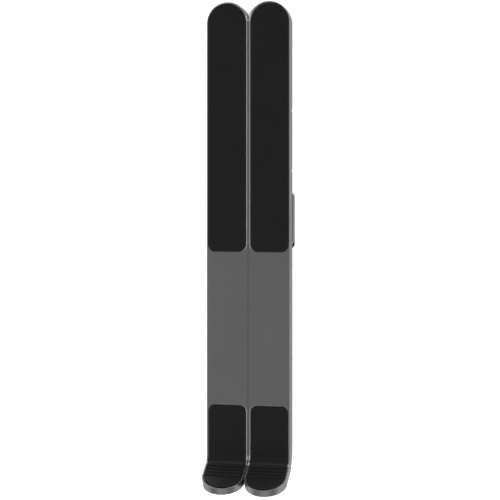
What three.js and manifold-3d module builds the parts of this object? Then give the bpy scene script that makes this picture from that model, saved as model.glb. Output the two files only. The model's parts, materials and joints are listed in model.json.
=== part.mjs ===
// A folding laptop stand in its folded state: two hooked arms lie side by side, each over its own base bar.
// Two crossed bars under the base bars spread them apart, and a strut under each arm holds it up at an angle.
// Millimetres. X runs across the stand, Y from the hooks to the rear ends, Z up from the table.
import * as THREE from 'three';
import { mergeVertices } from 'three/addons/utils/BufferGeometryUtils.js';
import Module from 'manifold-3d';

const wasm = await Module();
wasm.setup();

// ---- Driving dimensions ----
const GAP = 0.3; // between parts that rest on each other
const HOLE_CLEARANCE = 0.2; // radial, between a pin and its hole
const ARM_WIDTH = 21.9;
const ARM_PITCH = 22.2; // centreline to centreline, folded
const REAR_Y = 127.1;
const HOOK_Y = -127.1;

const FLOOR_BOTTOM = 5.4; // underside of the base bars
const FLOOR_TOP = 7.0;
const ARM_TOP = 15.2;
const ARM_WALL_DEPTH = 9.6;
const ARM_WALL = 1.6;
const ARM_PLATE = 2.0;
const ARM_BOTTOM = ARM_TOP - ARM_WALL_DEPTH;
const ARM_UNDERSIDE = ARM_TOP - ARM_PLATE;

const HOOK_RADIUS = 5.45; // of the bend in the arm's top face
const HOOK_BEND = THREE.MathUtils.degToRad(65.1);
const HOOK_STRAIGHT = 8.4; // flat run between the bend and the round tip
const HOOK_TIP_THICKNESS = 3.9;
const HOOK_OUTER_RADIUS = 12.8; // of the side walls' lower front corner
const HOOK_OUTER_BEND = THREE.MathUtils.degToRad(70.6);

const REAR_PAD_RIM = 1.0; // metal left bare around a pad
const REAR_PAD_SHIFT = 0.15; // off the arm's centreline, towards its outer side
const HOOK_PAD_RIM = 1.2;
const PAD_RECESS = 0.8;
const PAD_PROUD = 0.4;
const PAD_GAP = 0.15;
const REAR_PAD_FRONT_Y = -3.6;
const REAR_PAD_CORNER = 3.7;
const HOOK_PAD_REAR_Y = -84.9;
const HOOK_PAD_CORNER = 3.2;

const BAR_WIDTH = 18;
const BAR_WALL = 1.5;
const BAR_WALL_TOP = 12.0;
const RACK_TOP = 8.4; // lowered wall that the strut's foot rod rides over
const BAR_FRONT_REACH = 5.5; // from the hinge pin to the front end

const PIN_RADIUS = 1.5;
const PIN_LINE_Z = 9.9; // hinge pin, strut pin and foot rod, all at one height when folded
const HINGE_Y = -102.5;
const STRUT_LENGTH = 110; // equals the distance from the hinge pin to the strut pin
const FOOT_ROD_RADIUS = 1.2;
const NOTCH_RADIUS = 1.35;
const NOTCH_TILTS = [12, 16, 20, 24, 28, 32]; // arm angles that the six notches hold, degrees
const RAIL_INNER = 4.9;
const RAIL_OUTER = 7.2;
const RAIL_END_RADIUS = 2.6;

const CROSSBAR_LENGTH = 188; // pivot to pivot
const CROSSBAR_WIDTH = 10;
const CROSSBAR_THICKNESS = 1.8;
const LOWER_CROSSBAR_Z = 0.7;
const UPPER_CROSSBAR_Z = 3.3;
const CROSSBAR_FRONT_Y = -83;
const SPREAD_RANGE = THREE.MathUtils.degToRad(46);

const RIVET_RADIUS = 1.6;
const RIVET_HEAD_RADIUS = 3.2;
const RIVET_HEAD_SINK = 0.1; // from a crossbar's underside up to the head in its counterbore
const RIVET_HEAD_HEIGHT = 0.6;
const BAR_HEAD_HEIGHT = 0.9; // of the heads on the base bars' floors
const COUNTERBORE_DEPTH = 0.9;
const SLOT_CLEARANCE = 0.5; // beside a slide rivet
const SLOT_END_CLEARANCE = 0.4;
const CENTRE_HEAD_SINK = 0.05; // under the upper crossbar's top
const SPACER_RADIUS = 4.5;
const WASHER_GAP = 0.2;
const FOOT_TOP = FLOOR_BOTTOM - GAP;

const SIDE_FOOT_FRONT_Y = -2.9;
const SIDE_FOOT_REAR_Y = 27.3;
const SIDE_FOOT_INNER = 5.4; // across, from the base bar's centreline
const SIDE_FOOT_OUTER = 11.35;
const SIDE_FOOT_CORNER = 2.6;
const SOLE_TOP = 1.1;
const SOLE_LIP = 1.7; // thickness of the sole where it wraps up the front end
const SOLE_GAP = 0.2;

const NICK_YS = [38.6, 70.4]; // nicks in the arm's outer wall, over studs on the base bar
const NICK_WIDTH = 1.5;
const NICK_HEIGHT = 1.5;
const STUD_HALF = 0.4;
const STUD_HEIGHT = 0.9;
const STUD_ROOT = 0.8; // sunk in the base bar's wall, and short of the arm's outer face
const SCREW_RADIUS = 0.9;
const SCREW_SIDES = 10;
const SCREW_HEAD_RADIUS = 1.6;
const SCREW_HEAD_LOW = 1.5;
const SCREW_HEAD_HIGH = 2.3;
const SCREW_X = 7.4; // across, from the base bar's centreline

const FRONT_FOOT_HALF = 6.5;
const FRONT_FOOT_REACH = 6.2; // from the hinge pin to the foot's rear end
const FRONT_FOOT_CORNER = 3;
const REAR_FOOT_INSET = 1.2; // from the base bar's sides and from the crossbars' round ends
const REAR_FOOT_CORNER = 1.5;

const CUT_MARGIN = 10; // how far a cutting solid reaches past what it cuts
const CUT_HIGH = 60; // above the whole stand
const ROUND_SIDES = 14;
const CURVE = { arm: 9, bar: 7, pad: 5, slot: 4, corner: 3 }; // segments in each arc of an outline

// ---- Positions that follow from them ----
const ARM_HALF = ARM_WIDTH / 2;
const ARM_INNER_HALF = ARM_HALF - ARM_WALL;
const BAR_HALF = BAR_WIDTH / 2;
const BAR_INNER_HALF = BAR_HALF - BAR_WALL;
const PIN_HALF = ARM_INNER_HALF + 0.8; // into blind holes in the arm's walls
const FOOT_ROD_HALF = BAR_HALF - 0.4; // over the base bar's walls, inside the arm's round end
const END_CENTRE_Y = REAR_Y - ARM_HALF; // centre of the round rear ends
const TIP_RUN = (HOOK_RADIUS + HOOK_TIP_THICKNESS) * Math.sin(HOOK_BEND)
  + (HOOK_STRAIGHT + ARM_HALF) * Math.cos(HOOK_BEND);
const BEND_Y = HOOK_Y + TIP_RUN; // where the hook starts to curl up
const BEND_CENTRE_Z = ARM_TOP + HOOK_RADIUS;
const STRUT_PIN_Y = HINGE_Y + STRUT_LENGTH;
const FOOT_ROD_Y = STRUT_PIN_Y + STRUT_LENGTH;
const FOLDED_ANGLE = Math.asin(ARM_PITCH / CROSSBAR_LENGTH);
const SLIDE_REAR_Y = CROSSBAR_FRONT_Y + CROSSBAR_LENGTH * Math.cos(FOLDED_ANGLE);
const SLIDE_FRONT_Y = CROSSBAR_FRONT_Y + CROSSBAR_LENGTH * Math.cos(FOLDED_ANGLE + SPREAD_RANGE);
const CROSSBAR_CENTRE_Y = (CROSSBAR_FRONT_Y + SLIDE_REAR_Y) / 2;
const SCREW_YS = [SIDE_FOOT_FRONT_Y + 7, SIDE_FOOT_REAR_Y - 6];
const REAR_PAD_HALF = ARM_HALF - REAR_PAD_RIM;
const HOOK_PAD_HALF = ARM_HALF - HOOK_PAD_RIM;

// ---- Materials ----
const finish = (color, roughness, metalness) => (
  new THREE.MeshStandardMaterial({ color, roughness, metalness })
);
const GREY_ALUMINIUM = finish(0x5c5d5f, 0.42, 0.9);
const BLACK_SILICONE = finish(0x1c1c1d, 0.7, 0.0);
const BLACK_RUBBER = finish(0x151516, 0.85, 0.0);
const STEEL = finish(0xb4b6b8, 0.3, 1.0);
const DARK_STEEL = finish(0x3a3b3d, 0.4, 0.9);
const WHITE_NYLON = finish(0xd9d8d2, 0.6, 0.0);

// ---- Solids: closed geometry to manifold and back ----
function solid(geometry) {
  const bare = geometry.clone();
  bare.deleteAttribute('normal');
  bare.deleteAttribute('uv');
  const merged = mergeVertices(bare, 1e-4);
  return new wasm.Manifold(new wasm.Mesh({
    numProp: 3,
    vertProperties: new Float32Array(merged.attributes.position.array),
    triVerts: new Uint32Array(merged.index.array),
  }));
}

function named(name, body, material) {
  const { vertProperties, triVerts } = body.getMesh();
  const geometry = new THREE.BufferGeometry();
  geometry.setAttribute('position', new THREE.BufferAttribute(new Float32Array(vertProperties), 3));
  geometry.setIndex(new THREE.BufferAttribute(new Uint32Array(triVerts), 1));
  geometry.computeVertexNormals();
  const mesh = new THREE.Mesh(geometry, material);
  mesh.name = name;
  return mesh;
}

const extrude = (shape, depth, curveSegments) => new THREE.ExtrudeGeometry(
  shape,
  { depth, curveSegments, bevelEnabled: false },
);

// A plan outline in X and Y, raised from one height to another.
function plate(shape, low, high, curveSegments = 6) {
  return solid(extrude(shape, high - low, curveSegments).translate(0, 0, low));
}

// A side outline in Y and Z, extruded across X.
function across(shape, low, high, curveSegments = 5) {
  const geometry = extrude(shape, high - low, curveSegments).translate(0, 0, low);
  const sideways = new THREE.Matrix4().makeBasis(
    new THREE.Vector3(0, 1, 0),
    new THREE.Vector3(0, 0, 1),
    new THREE.Vector3(1, 0, 0),
  );
  return solid(geometry.applyMatrix4(sideways));
}

function block(lowX, highX, lowY, highY, lowZ, highZ) {
  const geometry = new THREE.BoxGeometry(highX - lowX, highY - lowY, highZ - lowZ);
  geometry.translate((lowX + highX) / 2, (lowY + highY) / 2, (lowZ + highZ) / 2);
  return solid(geometry);
}

// A round bar across the stand, centred on X = 0.
function barAcross(radius, halfLength, y, z, segments = ROUND_SIDES) {
  const geometry = new THREE.CylinderGeometry(radius, radius, 2 * halfLength, segments);
  return solid(geometry.rotateZ(Math.PI / 2).translate(0, y, z));
}

function upright(radius, lowZ, highZ, x, y, segments = ROUND_SIDES) {
  const geometry = new THREE.CylinderGeometry(radius, radius, highZ - lowZ, segments);
  return solid(geometry.rotateX(Math.PI / 2).translate(x, y, (lowZ + highZ) / 2));
}

// A slot or bar outline: straight sides along Y and round ends.
function stadium(halfWidth, lowCentreY, highCentreY) {
  const shape = new THREE.Shape();
  shape.absarc(0, highCentreY, halfWidth, 0, Math.PI, false);
  shape.absarc(0, lowCentreY, halfWidth, Math.PI, 2 * Math.PI, false);
  shape.closePath();
  return shape;
}

// Square at the front end, round at the rear end.
function roundRearOutline(halfWidth, frontY) {
  const shape = new THREE.Shape();
  shape.moveTo(-halfWidth, frontY);
  shape.lineTo(halfWidth, frontY);
  shape.absarc(0, END_CENTRE_Y, halfWidth, 0, Math.PI, false);
  shape.closePath();
  return shape;
}

function roundedRectangle(lowX, highX, lowY, highY, radius) {
  const shape = new THREE.Shape();
  shape.absarc(highX - radius, lowY + radius, radius, -Math.PI / 2, 0, false);
  shape.absarc(highX - radius, highY - radius, radius, 0, Math.PI / 2, false);
  shape.absarc(lowX + radius, highY - radius, radius, Math.PI / 2, Math.PI, false);
  shape.absarc(lowX + radius, lowY + radius, radius, Math.PI, 1.5 * Math.PI, false);
  shape.closePath();
  return shape;
}

// ---- Arm and pads ----
// A point of the hook, in Y and Z: a run past the end of the bend, at a height over the arm's top face.
function hookPoint(run, height) {
  return new THREE.Vector2(
    BEND_Y - (HOOK_RADIUS - height) * Math.sin(HOOK_BEND) - run * Math.cos(HOOK_BEND),
    BEND_CENTRE_Z - (HOOK_RADIUS - height) * Math.cos(HOOK_BEND) + run * Math.sin(HOOK_BEND),
  );
}

const STRAIGHT_DOWN = -Math.PI / 2;

// The side outline of a layer that follows the arm's top face round the hook.
// It lies between two heights over the face.
function padLayer(rearY, under, over, tipRun) {
  const bendEnd = STRAIGHT_DOWN - HOOK_BEND;
  const shape = new THREE.Shape();
  shape.moveTo(rearY, ARM_TOP + under);
  shape.lineTo(BEND_Y, ARM_TOP + under);
  shape.absarc(BEND_Y, BEND_CENTRE_Z, HOOK_RADIUS - under, STRAIGHT_DOWN, bendEnd, true);
  shape.lineTo(...hookPoint(tipRun, under).toArray());
  shape.lineTo(...hookPoint(tipRun, over).toArray());
  shape.absarc(BEND_Y, BEND_CENTRE_Z, HOOK_RADIUS - over, bendEnd, STRAIGHT_DOWN, false);
  shape.lineTo(rearY, ARM_TOP + over);
  shape.closePath();
  return shape;
}

// The whole arm from the side.
// The hook thins towards its tip, and its outer face runs down into the walls' corner.
function armSideOutline() {
  const tipInner = hookPoint(HOOK_STRAIGHT + ARM_HALF, 0);
  const tipOuter = hookPoint(HOOK_STRAIGHT + ARM_HALF, -HOOK_TIP_THICKNESS);
  const cornerZ = ARM_BOTTOM + HOOK_OUTER_RADIUS;
  const tipOverCorner = tipOuter.y - cornerZ;
  const cornerY = tipOuter.x
    + (HOOK_OUTER_RADIUS + tipOverCorner * Math.cos(HOOK_OUTER_BEND)) / Math.sin(HOOK_OUTER_BEND);
  const shape = new THREE.Shape();
  shape.moveTo(REAR_Y, ARM_BOTTOM);
  shape.lineTo(REAR_Y, ARM_TOP);
  shape.lineTo(BEND_Y, ARM_TOP);
  shape.absarc(BEND_Y, BEND_CENTRE_Z, HOOK_RADIUS, STRAIGHT_DOWN, STRAIGHT_DOWN - HOOK_BEND, true);
  shape.lineTo(tipInner.x, tipInner.y);
  shape.lineTo(tipOuter.x, tipOuter.y);
  shape.absarc(cornerY, cornerZ, HOOK_OUTER_RADIUS, STRAIGHT_DOWN - HOOK_OUTER_BEND, STRAIGHT_DOWN, false);
  shape.closePath();
  return shape;
}

// What is left outside a half-round hook tip, to be cut away square to the tip's face.
function tipCorners(radius) {
  const margin = 3; // beside the tip and past it
  const reach = 6; // to each side of the top face
  const shape = new THREE.Shape();
  shape.moveTo(-radius - margin, 0);
  shape.lineTo(-radius, 0);
  shape.absarc(0, 0, radius, Math.PI, 0, true);
  shape.lineTo(radius + margin, 0);
  shape.lineTo(radius + margin, radius + margin);
  shape.lineTo(-radius - margin, radius + margin);
  shape.closePath();
  const geometry = extrude(shape, 2 * reach, CURVE.bar).translate(0, 0, -reach);
  const along = new THREE.Vector3(0, -Math.cos(HOOK_BEND), Math.sin(HOOK_BEND));
  const outward = new THREE.Vector3(0, -Math.sin(HOOK_BEND), -Math.cos(HOOK_BEND));
  const frame = new THREE.Matrix4().makeBasis(new THREE.Vector3(1, 0, 0), along, outward);
  const centre = hookPoint(HOOK_STRAIGHT, 0);
  frame.setPosition(0, centre.x, centre.y);
  return solid(geometry.applyMatrix4(frame));
}

function rearPadOutline(halfWidth, frontY, corner) {
  const shape = new THREE.Shape();
  shape.absarc(-halfWidth + corner, frontY + corner, corner, Math.PI, 1.5 * Math.PI, false);
  shape.absarc(halfWidth - corner, frontY + corner, corner, 1.5 * Math.PI, 2 * Math.PI, false);
  shape.absarc(0, END_CENTRE_Y, halfWidth, 0, Math.PI, false);
  shape.closePath();
  return shape;
}

function rearPadSolid(outer, grow, low, high) {
  const outline = rearPadOutline(REAR_PAD_HALF + grow, REAR_PAD_FRONT_Y - grow, REAR_PAD_CORNER + grow);
  return plate(outline, low, high, CURVE.pad).translate([outer * REAR_PAD_SHIFT, 0, 0]);
}

function hookPadSolid(grow, under, over) {
  const half = HOOK_PAD_HALF + grow;
  const rear = HOOK_PAD_REAR_Y + grow;
  const corner = HOOK_PAD_CORNER + grow;
  const layer = across(padLayer(rear, under, over, HOOK_STRAIGHT + half), -half, half);
  const outline = roundedRectangle(-half, half, HOOK_Y - CUT_MARGIN, rear, corner);
  return layer.intersect(plate(outline, 0, CUT_HIGH, CURVE.corner)).subtract(tipCorners(half));
}

// The channel under the top face is open at the front, where the base bar's nose turns out of it.
function arm(outer) {
  let body = across(armSideOutline(), -ARM_HALF, ARM_HALF)
    .intersect(plate(roundRearOutline(ARM_HALF, HOOK_Y - CUT_MARGIN), 0, CUT_HIGH, CURVE.arm))
    .subtract(tipCorners(ARM_HALF))
    .subtract(plate(roundRearOutline(ARM_INNER_HALF, HOOK_Y - CUT_MARGIN), 0, ARM_UNDERSIDE, CURVE.arm))
    .subtract(rearPadSolid(outer, PAD_GAP, ARM_TOP - PAD_RECESS, CUT_HIGH))
    .subtract(hookPadSolid(PAD_GAP, -PAD_RECESS, HOOK_RADIUS / 2));
  const pinHoleDepth = 1.0;
  for (const y of [HINGE_Y, STRUT_PIN_Y]) {
    const holeHalf = ARM_INNER_HALF + pinHoleDepth;
    body = body.subtract(barAcross(PIN_RADIUS + HOLE_CLEARANCE, holeHalf, y, PIN_LINE_Z));
  }
  for (const y of NICK_YS) {
    const wallX = [outer * (ARM_INNER_HALF - 1), outer * (ARM_HALF + 1)].sort((a, b) => a - b);
    const halfWidth = NICK_WIDTH / 2;
    body = body.subtract(block(...wallX, y - halfWidth, y + halfWidth, 0, ARM_BOTTOM + NICK_HEIGHT));
  }
  return body;
}

// ---- Base bar ----
// The foot rod's place along the bar at an arm angle: the strut and the arm make two equal sides.
function notchY(tilt) {
  return HINGE_Y + 2 * STRUT_LENGTH * Math.cos(THREE.MathUtils.degToRad(tilt));
}

function barWallOutline() {
  const frontY = HINGE_Y - BAR_FRONT_REACH;
  const earRadius = 3.0;
  const earReach = 4;
  const pinNotchHalf = PIN_RADIUS + 0.7;
  const rackRamp = 4; // from the last notch to the ramp, and again along the ramp
  const rackFrontY = notchY(NOTCH_TILTS.at(-1)) - rackRamp;
  const shape = new THREE.Shape();
  shape.moveTo(frontY, FLOOR_BOTTOM);
  shape.lineTo(REAR_Y, FLOOR_BOTTOM);
  shape.lineTo(REAR_Y, RACK_TOP);
  for (const tilt of NOTCH_TILTS) {
    shape.absarc(notchY(tilt), RACK_TOP, NOTCH_RADIUS, 0, -Math.PI, true);
  }
  shape.lineTo(rackFrontY, RACK_TOP);
  shape.lineTo(rackFrontY - rackRamp, BAR_WALL_TOP);
  shape.lineTo(STRUT_PIN_Y + pinNotchHalf, BAR_WALL_TOP);
  shape.absarc(STRUT_PIN_Y, PIN_LINE_Z, pinNotchHalf, 0, -Math.PI, true);
  shape.lineTo(STRUT_PIN_Y - pinNotchHalf, BAR_WALL_TOP);
  shape.lineTo(HINGE_Y + earReach, BAR_WALL_TOP);
  shape.absarc(HINGE_Y, PIN_LINE_Z, earRadius, Math.PI / 2, Math.PI, false);
  shape.lineTo(frontY, FLOOR_TOP);
  shape.closePath();
  return shape;
}

function baseBar(outer) {
  const frontY = HINGE_Y - BAR_FRONT_REACH - CUT_MARGIN;
  const slotFrontY = SLIDE_FRONT_Y - SLOT_END_CLEARANCE;
  const slotRearY = SLIDE_REAR_Y + SLOT_END_CLEARANCE;
  const slot = stadium(RIVET_RADIUS + SLOT_CLEARANCE, slotFrontY, slotRearY);
  const rivetHoleRadius = RIVET_RADIUS + HOLE_CLEARANCE;
  let body = across(barWallOutline(), -BAR_HALF, BAR_HALF, CURVE.corner)
    .intersect(plate(roundRearOutline(BAR_HALF, frontY), 0, CUT_HIGH, CURVE.bar))
    .subtract(block(-BAR_INNER_HALF, BAR_INNER_HALF, frontY, REAR_Y, FLOOR_TOP, CUT_HIGH))
    .subtract(plate(slot, 0, BAR_WALL_TOP, CURVE.slot))
    .subtract(upright(rivetHoleRadius, 0, BAR_WALL_TOP, 0, CROSSBAR_FRONT_Y))
    .subtract(barAcross(PIN_RADIUS + HOLE_CLEARANCE, BAR_WIDTH, HINGE_Y, PIN_LINE_Z));
  for (const y of SCREW_YS) {
    const hole = upright(SCREW_RADIUS + HOLE_CLEARANCE, 0, FLOOR_TOP + GAP, outer * SCREW_X, y, SCREW_SIDES);
    body = body.subtract(hole);
  }
  const studLow = FLOOR_BOTTOM + GAP;
  for (const y of NICK_YS) {
    const studX = [outer * (BAR_HALF - STUD_ROOT), outer * (ARM_HALF - STUD_ROOT)].sort((a, b) => a - b);
    body = body.add(block(...studX, y - STUD_HALF, y + STUD_HALF, studLow, studLow + STUD_HEIGHT));
  }
  return body;
}

function crossPin(radius, halfLength, y) {
  return barAcross(radius, halfLength, y, PIN_LINE_Z);
}

// ---- Strut: two rails joined by a web, with the foot rod at its rear end ----
function strut() {
  const railOutline = new THREE.Shape();
  railOutline.absarc(FOOT_ROD_Y, PIN_LINE_Z, RAIL_END_RADIUS, -Math.PI / 2, Math.PI / 2, false);
  railOutline.absarc(STRUT_PIN_Y, PIN_LINE_Z, RAIL_END_RADIUS, Math.PI / 2, 1.5 * Math.PI, false);
  railOutline.closePath();
  const webHalf = RAIL_INNER + 0.5;
  const webFrontY = STRUT_PIN_Y + 5;
  const webRearY = FOOT_ROD_Y - 26;
  const webHalfThickness = 1.1;
  const webLow = PIN_LINE_Z - webHalfThickness;
  const webHigh = PIN_LINE_Z + webHalfThickness;
  return across(railOutline, -RAIL_OUTER, -RAIL_INNER)
    .add(across(railOutline, RAIL_INNER, RAIL_OUTER))
    .add(block(-webHalf, webHalf, webFrontY, webRearY, webLow, webHigh))
    .subtract(barAcross(PIN_RADIUS + HOLE_CLEARANCE, BAR_HALF, STRUT_PIN_Y, PIN_LINE_Z))
    .subtract(barAcross(FOOT_ROD_RADIUS + HOLE_CLEARANCE, BAR_HALF, FOOT_ROD_Y, PIN_LINE_Z));
}

// ---- Crossbars, drawn along Y from the front pivot at the origin and turned in place ----
function crossbar(lowZ, centreBoreOnTop) {
  const highZ = lowZ + CROSSBAR_THICKNESS;
  const boreRadius = RIVET_HEAD_RADIUS + GAP;
  const cutLow = lowZ - CUT_MARGIN;
  const cutHigh = highZ + CUT_MARGIN;
  let body = plate(stadium(CROSSBAR_WIDTH / 2, 0, CROSSBAR_LENGTH), lowZ, highZ);
  for (const y of [0, CROSSBAR_LENGTH / 2, CROSSBAR_LENGTH]) {
    const boreOnTop = centreBoreOnTop && y === CROSSBAR_LENGTH / 2;
    const boreLow = boreOnTop ? highZ - COUNTERBORE_DEPTH : cutLow;
    const boreHigh = boreOnTop ? cutHigh : lowZ + COUNTERBORE_DEPTH;
    body = body
      .subtract(upright(RIVET_RADIUS + HOLE_CLEARANCE, cutLow, cutHigh, 0, y))
      .subtract(upright(boreRadius, boreLow, boreHigh, 0, y));
  }
  return body;
}

// A rivet turned about Z: head, shank and upset head.
function rivet(lowHead, highHead) {
  const profile = [
    [0, lowHead[0]],
    [RIVET_HEAD_RADIUS, lowHead[0]],
    [RIVET_HEAD_RADIUS, lowHead[1]],
    [RIVET_RADIUS, lowHead[1]],
    [RIVET_RADIUS, highHead[0]],
    [RIVET_HEAD_RADIUS, highHead[0]],
    [RIVET_HEAD_RADIUS, highHead[1]],
    [0, highHead[1]],
  ];
  const points = profile.map(([radius, height]) => new THREE.Vector2(radius, height));
  return solid(new THREE.LatheGeometry(points, ROUND_SIDES).rotateX(Math.PI / 2));
}

function ring(innerRadius, outerRadius, low, high) {
  const hole = upright(innerRadius, low - CUT_MARGIN, high + CUT_MARGIN, 0, 0);
  return upright(outerRadius, low, high, 0, 0).subtract(hole);
}

// ---- Feet ----
function sideFootOutline(outer, frontY) {
  const xs = [outer * SIDE_FOOT_INNER, outer * SIDE_FOOT_OUTER].sort((a, b) => a - b);
  return roundedRectangle(...xs, frontY, SIDE_FOOT_REAR_Y, SIDE_FOOT_CORNER);
}

function sideFoot(outer) {
  const outline = sideFootOutline(outer, SIDE_FOOT_FRONT_Y + SOLE_LIP + SOLE_GAP);
  let body = plate(outline, SOLE_TOP + SOLE_GAP, FOOT_TOP, CURVE.corner);
  for (const y of SCREW_YS) {
    body = body
      .subtract(upright(SCREW_RADIUS + HOLE_CLEARANCE, 0, FLOOR_TOP, outer * SCREW_X, y, SCREW_SIDES))
      .subtract(upright(SCREW_HEAD_RADIUS + GAP, 0, SCREW_HEAD_HIGH + GAP, outer * SCREW_X, y, SCREW_SIDES));
  }
  return body;
}

function sideFootSole(outer) {
  const whole = sideFootOutline(outer, SIDE_FOOT_FRONT_Y);
  const lipRearY = SIDE_FOOT_FRONT_Y + SOLE_LIP;
  const lipBlock = block(-ARM_WIDTH, ARM_WIDTH, SIDE_FOOT_FRONT_Y - CUT_MARGIN, lipRearY, 0, FLOOR_TOP);
  const lip = plate(whole, 0, FOOT_TOP - GAP, CURVE.corner).intersect(lipBlock);
  return plate(whole, 0, SOLE_TOP, CURVE.corner).add(lip);
}

function sideFootScrew() {
  const top = FLOOR_TOP - 0.1;
  const profile = [
    [0, SCREW_HEAD_LOW],
    [SCREW_HEAD_RADIUS, SCREW_HEAD_LOW],
    [SCREW_HEAD_RADIUS, SCREW_HEAD_HIGH],
    [SCREW_RADIUS, SCREW_HEAD_HIGH],
    [SCREW_RADIUS, top],
    [0, top],
  ];
  const points = profile.map(([radius, height]) => new THREE.Vector2(radius, height));
  return solid(new THREE.LatheGeometry(points, SCREW_SIDES).rotateX(Math.PI / 2));
}

function frontFoot() {
  const frontY = HINGE_Y - BAR_FRONT_REACH;
  const rearY = HINGE_Y + FRONT_FOOT_REACH;
  const outline = roundedRectangle(-FRONT_FOOT_HALF, FRONT_FOOT_HALF, frontY, rearY, FRONT_FOOT_CORNER);
  return plate(outline, 0, FOOT_TOP, CURVE.corner);
}

function rearFoot() {
  const frontY = SLIDE_REAR_Y + CROSSBAR_WIDTH / 2 + REAR_FOOT_INSET;
  const outline = rearPadOutline(BAR_HALF - REAR_FOOT_INSET, frontY, REAR_FOOT_CORNER);
  return plate(outline, 0, FOOT_TOP, CURVE.pad);
}

// ---- Assembly ----
const stand = new THREE.Group();
const headIn = (crossbarZ) => [crossbarZ + RIVET_HEAD_SINK, crossbarZ + RIVET_HEAD_SINK + RIVET_HEAD_HEIGHT];
const LOW_HEAD = headIn(LOWER_CROSSBAR_Z);
const UPPER_LOW_HEAD = headIn(UPPER_CROSSBAR_Z);
const BAR_HEAD = [FLOOR_TOP + GAP, FLOOR_TOP + GAP + BAR_HEAD_HEIGHT];

function addAt(group, mesh, x, y) {
  mesh.position.set(x, y, 0);
  group.add(mesh);
}

for (const [side, outer] of [['left', -1], ['right', 1]]) {
  const half = new THREE.Group();
  half.position.x = outer * ARM_PITCH / 2;
  stand.add(half);
  half.add(named(`${side}_arm`, arm(outer), GREY_ALUMINIUM));
  const padUnder = PAD_GAP - PAD_RECESS;
  const rearPad = rearPadSolid(outer, 0, ARM_TOP + padUnder, ARM_TOP + PAD_PROUD);
  half.add(named(`${side}_rear_pad`, rearPad, BLACK_SILICONE));
  half.add(named(`${side}_hook_pad`, hookPadSolid(0, padUnder, PAD_PROUD), BLACK_SILICONE));
  half.add(named(`${side}_base_bar`, baseBar(outer), GREY_ALUMINIUM));
  half.add(named(`${side}_hinge_pin`, crossPin(PIN_RADIUS, PIN_HALF, HINGE_Y), STEEL));
  half.add(named(`${side}_strut_pin`, crossPin(PIN_RADIUS, PIN_HALF, STRUT_PIN_Y), STEEL));
  half.add(named(`${side}_foot_rod`, crossPin(FOOT_ROD_RADIUS, FOOT_ROD_HALF, FOOT_ROD_Y), STEEL));
  half.add(named(`${side}_strut`, strut(), GREY_ALUMINIUM));
  half.add(named(`${side}_front_foot`, frontFoot(), BLACK_RUBBER));
  half.add(named(`${side}_rear_foot`, rearFoot(), BLACK_RUBBER));
  half.add(named(`${side}_side_foot`, sideFoot(outer), GREY_ALUMINIUM));
  half.add(named(`${side}_side_foot_sole`, sideFootSole(outer), BLACK_RUBBER));
  for (const [place, y] of [['front', SCREW_YS[0]], ['rear', SCREW_YS[1]]]) {
    addAt(half, named(`${side}_side_foot_${place}_screw`, sideFootScrew(), DARK_STEEL), outer * SCREW_X, y);
  }
  const frontHead = outer > 0 ? LOW_HEAD : UPPER_LOW_HEAD;
  const slideHead = outer > 0 ? UPPER_LOW_HEAD : LOW_HEAD;
  addAt(half, named(`${side}_front_rivet`, rivet(frontHead, BAR_HEAD), STEEL), 0, CROSSBAR_FRONT_Y);
  addAt(half, named(`${side}_slide_rivet`, rivet(slideHead, BAR_HEAD), STEEL), 0, SLIDE_REAR_Y);
}

// The lower crossbar reaches up to the bars through spacers: at its front pivot and at its sliding end.
const lowerTop = LOWER_CROSSBAR_Z + CROSSBAR_THICKNESS;
const upperTop = UPPER_CROSSBAR_Z + CROSSBAR_THICKNESS;
for (const [name, x, y] of [
  ['right_front_spacer', ARM_PITCH / 2, CROSSBAR_FRONT_Y],
  ['left_slide_spacer', -ARM_PITCH / 2, SLIDE_REAR_Y],
]) {
  const spacer = ring(RIVET_RADIUS + HOLE_CLEARANCE, SPACER_RADIUS, lowerTop + GAP, FLOOR_BOTTOM - GAP);
  addAt(stand, named(name, spacer, WHITE_NYLON), x, y);
}

const lowerCrossbar = named('lower_crossbar', crossbar(LOWER_CROSSBAR_Z, false), GREY_ALUMINIUM);
lowerCrossbar.rotation.z = FOLDED_ANGLE;
addAt(stand, lowerCrossbar, ARM_PITCH / 2, CROSSBAR_FRONT_Y);
const upperCrossbar = named('upper_crossbar', crossbar(UPPER_CROSSBAR_Z, true), GREY_ALUMINIUM);
upperCrossbar.rotation.z = -FOLDED_ANGLE;
addAt(stand, upperCrossbar, -ARM_PITCH / 2, CROSSBAR_FRONT_Y);

const centreHead = [upperTop - RIVET_HEAD_HEIGHT, upperTop - CENTRE_HEAD_SINK];
const centreRivet = rivet(LOW_HEAD, centreHead);
addAt(stand, named('centre_rivet', centreRivet, STEEL), 0, CROSSBAR_CENTRE_Y);
const washerTop = UPPER_CROSSBAR_Z - WASHER_GAP;
const centreWasher = ring(RIVET_RADIUS + HOLE_CLEARANCE, SPACER_RADIUS, lowerTop + WASHER_GAP, washerTop);
addAt(stand, named('centre_washer', centreWasher, WHITE_NYLON), 0, CROSSBAR_CENTRE_Y);

export default stand;
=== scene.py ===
import json
import math

import bmesh
import bpy
from mathutils import Matrix, Vector


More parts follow.
